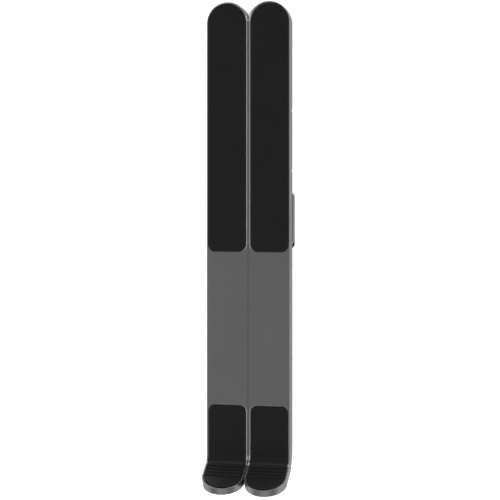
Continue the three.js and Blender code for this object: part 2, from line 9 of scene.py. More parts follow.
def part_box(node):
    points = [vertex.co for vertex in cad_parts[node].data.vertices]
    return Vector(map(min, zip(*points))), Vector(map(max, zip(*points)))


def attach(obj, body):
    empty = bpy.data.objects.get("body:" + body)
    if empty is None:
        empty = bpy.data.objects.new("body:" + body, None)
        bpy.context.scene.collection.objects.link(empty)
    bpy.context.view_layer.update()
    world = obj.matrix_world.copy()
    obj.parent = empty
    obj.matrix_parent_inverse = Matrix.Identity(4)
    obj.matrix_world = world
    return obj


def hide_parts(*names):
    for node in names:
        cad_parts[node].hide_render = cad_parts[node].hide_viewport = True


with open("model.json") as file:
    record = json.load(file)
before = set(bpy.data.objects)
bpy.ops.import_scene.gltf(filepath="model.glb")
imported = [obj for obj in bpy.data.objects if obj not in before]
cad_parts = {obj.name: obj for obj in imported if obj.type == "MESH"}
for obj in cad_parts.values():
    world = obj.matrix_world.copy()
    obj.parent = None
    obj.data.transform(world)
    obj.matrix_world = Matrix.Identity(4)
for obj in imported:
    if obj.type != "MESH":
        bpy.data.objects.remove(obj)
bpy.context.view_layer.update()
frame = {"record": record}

MM = 0.001


def node_box(node):
    """The lowest and highest corner of a CAD node, in millimetres."""
    low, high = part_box(node)
    return low / MM, high / MM


# ---- Driving dimensions, from the frame where it gives them ----
ARM_LOW, ARM_HIGH = node_box("right_arm")
BAR_LOW, BAR_HIGH = node_box("right_base_bar")
REAR_PAD_LOW, REAR_PAD_HIGH = node_box("right_rear_pad")
HOOK_PAD_LOW, HOOK_PAD_HIGH = node_box("right_hook_pad")
STRUT_LOW, STRUT_HIGH = node_box("right_strut")

ARM_HALF = (ARM_HIGH.x - ARM_LOW.x) / 2
REAR_Y = ARM_HIGH.y
ARM_BOTTOM = ARM_LOW.z
PAD_PROUD = 0.4
ARM_TOP = REAR_PAD_HIGH.z - PAD_PROUD
ARM_WALL = 1.6
ARM_PLATE = 2.0
ARM_INNER_HALF = ARM_HALF - ARM_WALL
ARM_UNDERSIDE = ARM_TOP - ARM_PLATE
ARM_EDGE = 0.07
END_CENTRE_Y = REAR_Y - ARM_HALF

HOOK_RADIUS = 5.45
HOOK_BEND = math.radians(65.1)
HOOK_STRAIGHT = 8.4  # flat run between the bend and the round tip
HOOK_TIP_THICKNESS = 3.9
HOOK_OUTER_RADIUS = 12.8
HOOK_OUTER_BEND = math.radians(70.6)
TIP_RUN = (
    (HOOK_RADIUS + HOOK_TIP_THICKNESS) * math.sin(HOOK_BEND)
    + (HOOK_STRAIGHT + ARM_HALF) * math.cos(HOOK_BEND)
)
BEND_Y = ARM_LOW.y + TIP_RUN
BEND_CENTRE_Z = ARM_TOP + HOOK_RADIUS
BEND_RUN = HOOK_RADIUS * HOOK_BEND
BEND_STEPS = 20
TIP_CENTRE_Y = BEND_Y - BEND_RUN - HOOK_STRAIGHT  # on the unrolled arm

REAR_PAD_HALF = (REAR_PAD_HIGH.x - REAR_PAD_LOW.x) / 2
REAR_PAD_SHIFT = (REAR_PAD_HIGH.x + REAR_PAD_LOW.x - ARM_HIGH.x - ARM_LOW.x) / 2  # to the outer side
HOOK_PAD_HALF = (HOOK_PAD_HIGH.x - HOOK_PAD_LOW.x) / 2
PAD_RECESS = 0.8
PAD_GAP = 0.15
PAD_BOTTOM = ARM_TOP - PAD_RECESS + PAD_GAP
REAR_PAD_CORNER = 3.7
HOOK_PAD_CORNER = 3.2
CHAMFER_WIDTH = 0.6
CHAMFER_DEPTH = 0.3
CHAMFER_LEAN = 0.3  # wider by this beside the other arm, and narrower on the outer side
PAD_EDGE = [  # a pad's edge in section, as pairs of an inset and a height
    (0, PAD_BOTTOM),
    (0, ARM_TOP + 0.02),
    (0.05, ARM_TOP + 0.17),
    (0.16, ARM_TOP + 0.3),
    (0.32, ARM_TOP + 0.37),
    (0.55, ARM_TOP + PAD_PROUD),
]

GROOVE_FIRST = 7.6  # run along the hook from the start of its bend
GROOVE_PITCH = 2.6
GROOVE_COUNT = 4
GROOVE_DEPTH = 0.8
GROOVE_POWER = 3  # the higher, the narrower the grooves
GROOVE_STEPS = 16  # cuts across the pad for each groove

BAR_HALF = (BAR_HIGH.x - BAR_LOW.x) / 2
FLOOR_BOTTOM = BAR_LOW.z
BAR_FLOOR = 1.6
BAR_WALL = 1.5
BAR_EDGE = 0.2
FLOOR_TOP = FLOOR_BOTTOM + BAR_FLOOR
BAR_INNER_HALF = BAR_HALF - BAR_WALL
BAR_WALL_TOP = 12.0
RACK_TOP = 8.4
RACK_RAMP = 4  # from the last notch to the foot of the ramp, and the ramp's own length
EAR_RADIUS = 3.0
EAR_REACH = 4  # from the hinge pin to the ear's rear end
SEAT_CLEARANCE = 0.7  # round the strut pin

PIN_RADIUS = 1.5
ROD_RADIUS = 1.2
HOLE_CLEARANCE = 0.2
PIN_HALF = ARM_INNER_HALF + 0.8  # a hinge or strut pin ends inside the arm's walls
BLIND_HALF = ARM_INNER_HALF + 1.0  # and so do its holes
ROD_HALF = BAR_HALF - 0.4
CROSS_PIN_CHAMFER = 0.35
PIN_Z = (STRUT_LOW.z + STRUT_HIGH.z) / 2
RAIL_END_RADIUS = (STRUT_HIGH.z - STRUT_LOW.z) / 2
STRUT_LENGTH = STRUT_HIGH.y - STRUT_LOW.y - 2 * RAIL_END_RADIUS
STRUT_PIN_Y = STRUT_LOW.y + RAIL_END_RADIUS
FOOT_ROD_Y = STRUT_PIN_Y + STRUT_LENGTH
HINGE_Y = STRUT_PIN_Y - STRUT_LENGTH
RAIL_INNER = 4.9
RAIL_OUTER = (STRUT_HIGH.x - STRUT_LOW.x) / 2
STRUT_EDGE = 0.25
WEB_HALF = 1.1
WEB_ROOT = 0.5  # sunk in the rails
WEB_FRONT_REACH = 5  # from the strut pin
WEB_REAR_REACH = 26  # from the foot rod
NOTCH_RADIUS = 1.35
NOTCH_TILTS = (12, 16, 20, 24, 28, 32)  # arm angles that the notches hold, degrees

RIVET_RADIUS = 1.6
RIVET_HEAD_RADIUS = 3.2
RIVET_HEAD_HEIGHT = 0.6
BAR_HEAD_HEIGHT = 0.9  # of the heads on the base bars' floors
CENTRE_HEAD_HEIGHT = 0.55
RIVET_EASE = 0.25
SLOT_CLEARANCE = 0.5  # beside a slide rivet
SLOT_END_CLEARANCE = 0.4
SPACER_RADIUS = 4.5
CROSSBAR_HALF = 5.0
CROSSBAR_LENGTH = 188.0
CROSSBAR_EDGE = 0.25
COUNTERBORE_DEPTH = 0.9
COUNTERBORE_CLEARANCE = 0.3
SPREAD_ANGLE = math.radians(46)

REST_GAP = 0.3  # between parts that rest on each other
FOOT_TOP = FLOOR_BOTTOM - REST_GAP
FOOT_EASE = 0.35
NICK_YS = (38.6, 70.4)
NICK_WIDTH = 1.5
NICK_HEIGHT = 1.5
STUD_HALF = 0.4
STUD_HEIGHT = 1.0  # over the arm's lower edge
STUD_ROOT = 0.5  # sunk in the base bar's wall
STUD_REACH = ARM_INNER_HALF + 0.8  # ends short of the arm's outer face

SIDE_FOOT_INNER = 5.4  # across, from the base bar's centreline
SIDE_FOOT_OUTER = 11.35
SIDE_FOOT_CORNER = 2.6
SIDE_FOOT_EASE = 0.3
SOLE_LOW, SOLE_HIGH = node_box("right_side_foot_sole")
SOLE_TOP = 1.1
SOLE_LIP = 1.7
SOLE_GAP = 0.2
SOLE_EASE = 0.25

SCREW_RADIUS = 0.9
SCREW_X = 7.4  # across, from the base bar's centreline
SCREW_YS = (SOLE_LOW.y + 7, SOLE_HIGH.y - 6)
SCREW_TOP = 6.9
SCREW_HEAD_RADIUS = 1.6
SCREW_HEAD_LOW = 1.5
SCREW_HEAD_HIGH = 2.3
SCREW_BORE_RADIUS = 1.9
SCREW_BORE_DEPTH = 1.5  # above the sole

FRONT_FOOT_CORNER = 3
REAR_FOOT_CORNER = 1.5
GRIP_COUNT = 4
GRIP_PITCH = 2
GRIP_HALF = 0.4
GRIP_DEPTH = 0.4
FRONT_GRIP_FIRST = 2.8  # from a foot's front end to its first groove
REAR_GRIP_FIRST = 2.6
FRONT_GRIP_RIM = 1.6  # from a foot's sides to its grooves' ends
REAR_GRIP_RIM = 2.2

SIDE_MARGIN = 5  # how far a solid reaches past what it cuts or keeps
LONG_MARGIN = 20
FAR_ABOVE = 30

# ---- Camera ----
CAMERA_YAW = math.radians(11)
CAMERA_AIM = Vector((1.068, 27.723, ARM_TOP))
CAMERA_DISTANCE = 619.9
CAMERA_LENS = 85.245
CAMERA_SHIFT = -0.11744


def make_camera():
    """Looks almost straight down, from a little to the right, with the object's front at the bottom."""
    data = bpy.data.cameras.new("camera")
    data.sensor_width = 36
    data.lens = CAMERA_LENS
    data.shift_y = CAMERA_SHIFT
    camera = bpy.data.objects.new("camera", data)
    bpy.context.scene.collection.objects.link(camera)
    back = Vector((math.sin(CAMERA_YAW), 0, math.cos(CAMERA_YAW)))
    right = Vector((math.cos(CAMERA_YAW), 0, -math.sin(CAMERA_YAW)))
    turn = Matrix((right, (0, 1, 0), back)).transposed()
    stand_at = (CAMERA_AIM + back * CAMERA_DISTANCE) * MM
    camera.matrix_world = Matrix.Translation(stand_at) @ turn.to_4x4()
    bpy.context.scene.camera = camera


make_camera()


# ---- Materials ----
NOISE_LOW = 0.3  # most of a noise texture's values lie between these two
NOISE_HIGH = 0.7


def new_material(name, colour, roughness, metallic):
    """A principled material, with its own sockets set to values that are the same all over."""
    material = bpy.data.materials.new(name)
    material.use_nodes = True
    shader = material.node_tree.nodes["Principled BSDF"]
    shader.inputs["Base Color"].default_value = (*colour, 1)
    shader.inputs["Roughness"].default_value = roughness
    shader.inputs["Metallic"].default_value = metallic
    return material, shader


def noise(material, scale, detail=2.0, stretch=None):
    """Noise over the piece's own coordinates; scale is in turns per metre."""
    nodes, links = material.node_tree.nodes, material.node_tree.links
    coordinates = nodes.new("ShaderNodeTexCoord")
    texture = nodes.new("ShaderNodeTexNoise")
    texture.inputs["Scale"].default_value = scale
    texture.inputs["Detail"].default_value = detail
    if stretch is None:
        links.new(coordinates.outputs["Object"], texture.inputs["Vector"])
        return texture.outputs["Fac"]
    mapping = nodes.new("ShaderNodeMapping")
    mapping.inputs["Scale"].default_value = stretch
    links.new(coordinates.outputs["Object"], mapping.inputs["Vector"])
    links.new(mapping.outputs["Vector"], texture.inputs["Vector"])
    return texture.outputs["Fac"]


def stretched(material, source, low, high):
    """The noise value stretched over a range."""
    node = material.node_tree.nodes.new("ShaderNodeMapRange")
    node.inputs["From Min"].default_value = NOISE_LOW
    node.inputs["From Max"].default_value = NOISE_HIGH
    node.inputs["To Min"].default_value = low
    node.inputs["To Max"].default_value = high
    material.node_tree.links.new(source, node.inputs["Value"])
    return node.outputs["Result"]


def roughen(material, shader, source, low, high):
    """Varies the roughness by a noise value."""
    material.node_tree.links.new(stretched(material, source, low, high), shader.inputs["Roughness"])


def tint(material, shader, source, dark, light):
    """Varies the base colour between two colours by a noise value."""
    ramp = material.node_tree.nodes.new("ShaderNodeValToRGB")
    ramp.color_ramp.elements[0].position = NOISE_LOW
    ramp.color_ramp.elements[1].position = NOISE_HIGH
    ramp.color_ramp.elements[0].color = (*dark, 1)
    ramp.color_ramp.elements[1].color = (*light, 1)
    material.node_tree.links.new(source, ramp.inputs["Fac"])
    material.node_tree.links.new(ramp.outputs["Color"], shader.inputs["Base Color"])


def emboss(material, shader, source, strength, distance):
    """Bump from a noise value; distance is in metres."""
    bump = material.node_tree.nodes.new("ShaderNodeBump")
    bump.inputs["Strength"].default_value = strength
    bump.inputs["Distance"].default_value = distance
    material.node_tree.links.new(source, bump.inputs["Height"])
    material.node_tree.links.new(bump.outputs["Normal"], shader.inputs["Normal"])


def grey(value):
    """A grey that is a touch cool."""
    return (value, value, value * 1.01)


def anodised_aluminium(name, value):
    """Bead-blasted and anodised: a fine even grain and a faint cloudiness."""
    material, shader = new_material(name, grey(value), roughness=0.34, metallic=1.0)
    shader.inputs["Specular Tint"].default_value = (0.6, 0.6, 0.6, 1)
    grain = noise(material, scale=3200, detail=3)
    cloud = noise(material, scale=28, detail=2)
    tint(material, shader, cloud, dark=grey(value * 0.97), light=grey(value * 1.03))
    roughen(material, shader, grain, low=0.3, high=0.38)
    emboss(material, shader, grain, strength=0.06, distance=0.00004)
    return material


def silicone():
    """Matt black moulded silicone with a fine texture and a faint dusty sheen."""
    material, shader = new_material("silicone", grey(0.003), roughness=0.5, metallic=0.0)
    shader.inputs["Specular IOR Level"].default_value = 0.13
    grain = noise(material, scale=2200, detail=3)
    tint(material, shader, noise(material, scale=60, detail=3), dark=grey(0.0026), light=grey(0.0034))
    roughen(material, shader, grain, low=0.42, high=0.54)
    emboss(material, shader, grain, strength=0.1, distance=0.00005)
    return material


def rubber():
    """Black rubber, rougher than the silicone."""
    material, shader = new_material("rubber", grey(0.013), roughness=0.8, metallic=0.0)
    shader.inputs["Specular IOR Level"].default_value = 0.25
    grain = noise(material, scale=1500, detail=4)
    tint(material, shader, grain, dark=grey(0.010), light=grey(0.017))
    emboss(material, shader, grain, strength=0.2, distance=0.00008)
    return material


def turned_steel(name, value, roughness):
    """Steel with fine marks that run round or across it."""
    material, shader = new_material(name, grey(value), roughness, metallic=1.0)
    marks = noise(material, scale=300, detail=3, stretch=(1, 12, 12))
    roughen(material, shader, marks, low=roughness * 0.8, high=roughness * 1.25)
    emboss(material, shader, marks, strength=0.08, distance=0.00003)
    return material


def nylon():
    """Natural white nylon that lets a little light in."""
    material, shader = new_material("nylon", (0.72, 0.71, 0.66), roughness=0.5, metallic=0.0)
    shader.inputs["Subsurface Weight"].default_value = 0.1
    shader.inputs["Subsurface Radius"].default_value = (0.001, 0.001, 0.001)
    emboss(material, shader, noise(material, scale=900, detail=2), strength=0.1, distance=0.00004)
    return material


ARM_METAL = anodised_aluminium("arm_metal", 0.164)
BAR_METAL = anodised_aluminium("bar_metal", 0.16)
SILICONE = silicone()
RUBBER = rubber()
STEEL = turned_steel("steel", 0.55, roughness=0.28)
DARK_STEEL = turned_steel("dark_steel", 0.12, roughness=0.35)
NYLON = nylon()


# ---- Outlines ----
def arc(centre_u, centre_v, radius, start, end, steps=12):
    """Points along an arc, from one angle to another, in degrees."""
    angles = [math.radians(start + (end - start) * i / steps) for i in range(steps + 1)]
    return [(centre_u + radius * math.cos(a), centre_v + radius * math.sin(a)) for a in angles]


def stadium(half, low_y, high_y, steps=24):
    """A bar in plan with two round ends, whose centres are at two places along Y."""
    return arc(0, high_y, half, 0, 180, steps) + arc(0, low_y, half, 180, 360, steps)


def round_rear(half, front_y, steps=32):
    """A bar in plan, square at the front and round at the rear."""
    return [(-half, front_y), (half, front_y)] + arc(0, END_CENTRE_Y, half, 0, 180, steps)


def rounded_rectangle(low_x, high_x, low_y, high_y, radius, steps=8):
    return (
        arc(high_x - radius, low_y + radius, radius, -90, 0, steps)
        + arc(high_x - radius, high_y - radius, radius, 0, 90, steps)
        + arc(low_x + radius, high_y - radius, radius, 90, 180, steps)
        + arc(low_x + radius, low_y + radius, radius, 180, 270, steps)
    )


def rear_pad_outline(inset):
    """The rear pad in plan, drawn in by an inset: two front corners and a round rear end."""
    half = REAR_PAD_HALF - inset
    front = REAR_PAD_LOW.y + inset
    corner = REAR_PAD_CORNER - inset
    return (
        arc(corner - half, front + corner, corner, 180, 270, 12)
        + arc(half - corner, front + corner, corner, 270, 360, 12)
        + arc(0, END_CENTRE_Y, half, 0, 180, 40)
    )


def hook_pad_outline(inset):
    """The hook pad on the unrolled arm: two rear corners and a round tip."""
    half = HOOK_PAD_HALF - inset
    rear = HOOK_PAD_HIGH.y - inset
    corner = HOOK_PAD_CORNER - inset
    return (
        arc(half - corner, rear - corner, corner, 0, 90, 12)
        + arc(corner - half, rear - corner, corner, 90, 180, 12)
        + arc(0, TIP_CENTRE_Y, half, 180, 360, 40)
    )


# ---- Solids ----
def plan_ring(outline, height):
    return [(x, y, height) for x, y in outline]


def side_ring(outline, x):
    return [(x, y, z) for y, z in outline]


def skin(rings, closed=False):
    """One closed skin over rings of points, capped at both ends or joined end to end."""
    shape = bmesh.new()
    rows = [[shape.verts.new(point) for point in ring] for ring in rings]
    pairs = list(zip(rows, rows[1:]))
    if closed:
        pairs.append((rows[-1], rows[0]))
    else:
        shape.faces.new(rows[0])
        shape.faces.new(rows[-1])
    for lower, upper in pairs:
        for i in range(len(lower)):
            shape.faces.new((lower[i - 1], lower[i], upper[i], upper[i - 1]))
    bmesh.ops.recalc_face_normals(shape, faces=shape.faces)
    mesh = bpy.data.meshes.new("solid")
    shape.to_mesh(mesh)
    shape.free()
    solid = bpy.data.objects.new("solid", mesh)
    bpy.context.scene.collection.objects.link(solid)
    return solid


def raised(outline, low, high):
    """A plan outline raised between two heights."""
    return skin([plan_ring(outline, low), plan_ring(outline, high)])


def run_across(outline, low_x, high_x):
    """A side outline run along X."""
    return skin([side_ring(outline, low_x), side_ring(outline, high_x)])


def layered(contour, profile):
    """Rings of one contour, stacked by (inset, height) pairs."""
    return skin([plan_ring(contour(inset), height) for inset, height in profile])


def box(low_x, high_x, low_y, high_y, low_z, high_z):
    corners = [(low_x, low_y), (high_x, low_y), (high_x, high_y), (low_x, high_y)]
    return raised(corners, low_z, high_z)


def turned(profile, x=0, y=0, closed=False, steps=40):
    """A profile of (radius, height) pairs, turned about an upright axis."""
    rings = []
    for radius, height in profile:
        circle = arc(x, y, radius, 0, 360, steps)[:-1]
        rings.append(plan_ring(circle, height))
    return skin(rings, closed)


def turned_across(profile, y, z, steps=32):
    """A profile of (radius, x) pairs, turned about an axis along X."""
    return skin([side_ring(arc(y, z, radius, 0, 360, steps)[:-1], x) for radius, x in profile])


def bake(solid):
    """Applies the solid's modifiers to its mesh."""
    bpy.context.view_layer.update()
    evaluated = solid.evaluated_get(bpy.context.evaluated_depsgraph_get())
    mesh = bpy.data.meshes.new_from_object(evaluated)
    solid.modifiers.clear()
    solid.data = mesh


def combine(solid, operation, *tools):
    for tool in tools:
        modifier = solid.modifiers.new("combine", "BOOLEAN")
        modifier.operation = operation
        modifier.solver = "EXACT"
        modifier.object = tool
        bake(solid)
        bpy.data.objects.remove(tool)
    return solid


def cut(solid, *tools):
    return combine(solid, "DIFFERENCE", *tools)


def keep(solid, *tools):
    return combine(solid, "INTERSECT", *tools)


def join(solid, *tools):
    return combine(solid, "UNION", *tools)


def soften(solid, width, segments=4, angle=50):
    """Rounds every edge that is sharper than the angle."""
    bevel = solid.modifiers.new("soften", "BEVEL")
    bevel.width = width
    bevel.segments = segments
    bevel.limit_method = "ANGLE"
    bevel.angle_limit = math.radians(angle)
    bevel.use_clamp_overlap = False
    bake(solid)
    return solid


def sliced(solid, ys):
    """Cuts the faces along planes square to Y, so that the skin can bend there."""
    shape = bmesh.new()
    shape.from_mesh(solid.data)
    for y in ys:
        everything = shape.verts[:] + shape.edges[:] + shape.faces[:]
        bmesh.ops.bisect_plane(shape, geom=everything, plane_co=(0, y, 0), plane_no=(0, 1, 0), dist=1e-5)
    shape.to_mesh(solid.data)
    shape.free()
    return solid


def bent(solid):
    """Rolls the unrolled arm's front end up into the hook."""
    for vertex in solid.data.vertices:
        run = BEND_Y - vertex.co.y
        if run > 0:
            angle = min(run / HOOK_RADIUS, HOOK_BEND)
            past = max(run - HOOK_RADIUS * HOOK_BEND, 0)
            radius = HOOK_RADIUS - (vertex.co.z - ARM_TOP)
            vertex.co.y = BEND_Y - radius * math.sin(angle) - past * math.cos(angle)
            vertex.co.z = BEND_CENTRE_Z - radius * math.cos(angle) + past * math.sin(angle)
    return solid


BODY_OF = {node: body for body, nodes in frame["record"]["behaviour"]["bodies"].items() for node in nodes}


def place(solid, node, material, x=0.0, y=0.0, turn=0.0, sharp=24):
    """Finishes a solid as the piece that stands for a CAD node, at its place and on its body."""
    solid.name = node + "_surface"
    mesh = solid.data
    mesh.name = solid.name
    mesh.transform(Matrix.Scale(MM, 4) @ Matrix.Translation((x, y, 0)) @ Matrix.Rotation(turn, 4, "Z"))
    shape = bmesh.new()
    shape.from_mesh(mesh)
    for face in shape.faces:
        face.smooth = True
    for edge in shape.edges:
        edge.smooth = edge.calc_face_angle(math.pi) < math.radians(sharp)
    shape.to_mesh(mesh)
    shape.free()
    normals = solid.modifiers.new("normals", "WEIGHTED_NORMAL")
    normals.keep_sharp = True
    mesh.materials.clear()
    mesh.materials.append(material)
    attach(solid, BODY_OF[node])
    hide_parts(node)
    return solid


# ---- Arms and pads ----
def hook_point(run, height):
    """A point of the hook, in Y and Z: a run past the end of the bend, at a height over the top face."""
    radius = HOOK_RADIUS - height
    return (
        BEND_Y - radius * math.sin(HOOK_BEND) - run * math.cos(HOOK_BEND),
        BEND_CENTRE_Z - radius * math.cos(HOOK_BEND) + run * math.sin(HOOK_BEND),
    )


def arm_side_outline():
    """The whole arm from the side, drawn out past its rear end and tip, which are cut round afterwards."""
    margin = 3
    tip_run = HOOK_STRAIGHT + ARM_HALF
    tip_y, tip_z = hook_point(tip_run, -HOOK_TIP_THICKNESS)
    corner_z = ARM_BOTTOM + HOOK_OUTER_RADIUS
    fall = HOOK_OUTER_RADIUS + (tip_z - corner_z) * math.cos(HOOK_OUTER_BEND)
    corner_y = tip_y + fall / math.sin(HOOK_OUTER_BEND)
    past_tip = (tip_y - margin * math.cos(HOOK_OUTER_BEND), tip_z + margin * math.sin(HOOK_OUTER_BEND))
    bend = arc(BEND_Y, BEND_CENTRE_Z, HOOK_RADIUS, 270, 270 - math.degrees(HOOK_BEND), BEND_STEPS)
    corner = arc(corner_y, corner_z, HOOK_OUTER_RADIUS, 270 - math.degrees(HOOK_OUTER_BEND), 270, 24)
    rear = [(REAR_Y + margin, ARM_BOTTOM), (REAR_Y + margin, ARM_TOP)]
    return rear + bend + [hook_point(tip_run + margin, 0), past_tip] + corner


def tip_corners(radius):
    """What is left outside a half-round tip, to be cut away square to the tip's face."""
    margin = 4
    reach = 7
    outside = radius + margin
    outline = [(-outside, 0)] + arc(0, 0, radius, 180, 0, steps=48)
    outline += [(outside, 0), (outside, outside), (-outside, outside)]
    tool = raised(outline, -reach, reach)
    along = (0, -math.cos(HOOK_BEND), math.sin(HOOK_BEND))
    outward = (0, -math.sin(HOOK_BEND), -math.cos(HOOK_BEND))
    turn = Matrix(((1, 0, 0), along, outward)).transposed().to_4x4()
    tool.data.transform(Matrix.Translation((0, *hook_point(HOOK_STRAIGHT, 0))) @ turn)
    return tool


def recess(contour, outer):
    """What is cut away for a pad: a straight-walled pocket whose rim slopes down to it."""
    above = 1.0
    rise = 1 + above / CHAMFER_DEPTH
    lean = -outer * CHAMFER_LEAN * rise
    pocket = contour(-PAD_GAP)
    mouth = [(x + lean, y) for x, y in contour(-PAD_GAP - CHAMFER_WIDTH * rise)]
    return skin([
        plan_ring(pocket, ARM_TOP - PAD_RECESS),
        plan_ring(pocket, ARM_TOP - CHAMFER_DEPTH),
        plan_ring(mouth, ARM_TOP + above),
    ])


def cross_hole(y, half_length, radius=PIN_RADIUS + HOLE_CLEARANCE):
    """What is cut away for a pin across the stand."""
    return turned_across([(radius, -half_length), (radius, half_length)], y, PIN_Z)


def runs(first, last, count):
    """Places along the unrolled arm, from one run past the start of the bend to another."""
    return [BEND_Y - first - (last - first) * i / count for i in range(count + 1)]


def arm(outer):
    """An arm with its outer side at +X, for an outer of 1, or at -X, for -1."""
    past_front = ARM_LOW.y - 2 * SIDE_MARGIN
    past_top = 2 * FAR_ABOVE
    nick_margin = 1
    body = run_across(arm_side_outline(), -ARM_HALF - SIDE_MARGIN, ARM_HALF + SIDE_MARGIN)
    keep(body, raised(round_rear(ARM_HALF, past_front, steps=48), 0, past_top))
    cut(body, tip_corners(ARM_HALF))
    cut(body, raised(round_rear(ARM_INNER_HALF, past_front), 0, ARM_UNDERSIDE))
    rear_recess = recess(rear_pad_outline, outer)
    rear_recess.data.transform(Matrix.Translation((outer * REAR_PAD_SHIFT, 0, 0)))
    cut(body, rear_recess)
    cut(body, bent(sliced(recess(hook_pad_outline, outer), runs(0, BEND_RUN, BEND_STEPS))))
    cut(body, cross_hole(HINGE_Y, BLIND_HALF), cross_hole(STRUT_PIN_Y, BLIND_HALF))
    for y in NICK_YS:
        xs = sorted((outer * (ARM_INNER_HALF - nick_margin), outer * (ARM_HALF + nick_margin)))
        cut(body, box(*xs, y - NICK_WIDTH / 2, y + NICK_WIDTH / 2, 0, ARM_BOTTOM + NICK_HEIGHT))
    return soften(body, ARM_EDGE)


def rear_pad():
    return layered(rear_pad_outline, PAD_EDGE)


def groove_depth(run):
    """How deep the grooves across the hook pad are at a run from the start of the bend."""
    turns = (run - GROOVE_FIRST) / GROOVE_PITCH
    if not -0.5 < turns < GROOVE_COUNT - 0.5:
        return 0.0
    return GROOVE_DEPTH * (0.5 + 0.5 * math.cos(2 * math.pi * turns)) ** GROOVE_POWER


def hook_pad():
    """A flat pad with grooves sunk in its top, rolled up into the hook."""
    pad = layered(hook_pad_outline, PAD_EDGE)
    first = GROOVE_FIRST - GROOVE_PITCH / 2
    last = first + GROOVE_COUNT * GROOVE_PITCH
    sliced(pad, runs(0, BEND_RUN, BEND_STEPS) + runs(first, last, GROOVE_STEPS * GROOVE_COUNT))
    for vertex in pad.data.vertices:
        over = max(vertex.co.z - ARM_TOP, 0) / PAD_PROUD
        vertex.co.z -= groove_depth(BEND_Y - vertex.co.y) * over
    return bent(pad)


# ---- Base bars ----
def notch_y(tilt):
    """Where the foot rod comes to rest along the rack when the arm is tilted by an angle in degrees."""
    return HINGE_Y + 2 * STRUT_LENGTH * math.cos(math.radians(tilt))


def bar_side_outline():
    """The base bar from the side: hinge ears, a seat for the strut pin, and a notched rack at the rear."""
    front = BAR_LOW.y
    past_rear = REAR_Y + SIDE_MARGIN
    seat = PIN_RADIUS + SEAT_CLEARANCE
    rack_front = notch_y(NOTCH_TILTS[-1]) - RACK_RAMP
    points = [(front, FLOOR_BOTTOM), (past_rear, FLOOR_BOTTOM), (past_rear, RACK_TOP)]
    for tilt in NOTCH_TILTS:
        points += arc(notch_y(tilt), RACK_TOP, NOTCH_RADIUS, 0, -180, 12)
    points += [(rack_front, RACK_TOP), (rack_front - RACK_RAMP, BAR_WALL_TOP)]
    points += [(STRUT_PIN_Y + seat, BAR_WALL_TOP)]
    points += arc(STRUT_PIN_Y, PIN_Z, seat, 0, -180, 16)
    points += [(STRUT_PIN_Y - seat, BAR_WALL_TOP), (HINGE_Y + EAR_REACH, BAR_WALL_TOP)]
    points += arc(HINGE_Y, PIN_Z, EAR_RADIUS, 90, 180, 10)
    return points + [(front, FLOOR_TOP)]


def upright_hole(radius, x, y, low=0, high=10):
    """What is cut away for an upright hole; its default heights take it through a base bar's floor."""
    return turned([(radius, low), (radius, high)], x, y)


def base_bar(outer, slide_y, front_pivot_y, slot_front_y):
    """A channel with a slot and pivot hole in its floor, and a stud on its outer side under each nick."""
    past_front = HINGE_Y - LONG_MARGIN
    slot_top = 10
    body = run_across(bar_side_outline(), -BAR_HALF - SIDE_MARGIN, BAR_HALF + SIDE_MARGIN)
    keep(body, raised(round_rear(BAR_HALF, past_front), 0, FAR_ABOVE))
    channel = (past_front, REAR_Y + SIDE_MARGIN, FLOOR_TOP, FAR_ABOVE)
    cut(body, box(-BAR_INNER_HALF, BAR_INNER_HALF, *channel))
    slot_ends = (slot_front_y - SLOT_END_CLEARANCE, slide_y + SLOT_END_CLEARANCE)
    cut(body, raised(stadium(RIVET_RADIUS + SLOT_CLEARANCE, *slot_ends, steps=12), 0, slot_top))
    cut(body, upright_hole(RIVET_RADIUS + HOLE_CLEARANCE, 0, front_pivot_y))
    cut(body, cross_hole(HINGE_Y, BAR_HALF + 1))
    for y in SCREW_YS:
        cut(body, upright_hole(SCREW_RADIUS + HOLE_CLEARANCE, outer * SCREW_X, y))
    for y in NICK_YS:
        xs = sorted((outer * (BAR_HALF - STUD_ROOT), outer * STUD_REACH))
        zs = (FLOOR_BOTTOM + REST_GAP, ARM_BOTTOM + STUD_HEIGHT)
        join(body, box(*xs, y - STUD_HALF, y + STUD_HALF, *zs))
    return soften(body, BAR_EDGE)


# ---- Struts, pins and rods ----
def strut():
    """Two rails with round ends, joined by a flat web."""
    rail = arc(FOOT_ROD_Y, PIN_Z, RAIL_END_RADIUS, -90, 90, steps=20)
    rail += arc(STRUT_PIN_Y, PIN_Z, RAIL_END_RADIUS, 90, 270, steps=20)
    web_half = RAIL_INNER + WEB_ROOT
    web_ends = (STRUT_PIN_Y + WEB_FRONT_REACH, FOOT_ROD_Y - WEB_REAR_REACH)
    rod_hole = ROD_RADIUS + HOLE_CLEARANCE
    body = run_across(rail, -RAIL_OUTER, -RAIL_INNER)
    join(body, run_across(rail, RAIL_INNER, RAIL_OUTER))
    join(body, box(-web_half, web_half, *web_ends, PIN_Z - WEB_HALF, PIN_Z + WEB_HALF))
    cut(body, cross_hole(STRUT_PIN_Y, BAR_HALF + 1), cross_hole(FOOT_ROD_Y, BAR_HALF + 1, rod_hole))
    return soften(body, STRUT_EDGE)


def cross_pin(radius, half_length, y):
    """A pin across the stand with chamfered ends."""
    return turned_across([
        (radius - CROSS_PIN_CHAMFER, -half_length),
        (radius, CROSS_PIN_CHAMFER - half_length),
        (radius, half_length - CROSS_PIN_CHAMFER),
        (radius - CROSS_PIN_CHAMFER, half_length),
    ], y, PIN_Z)


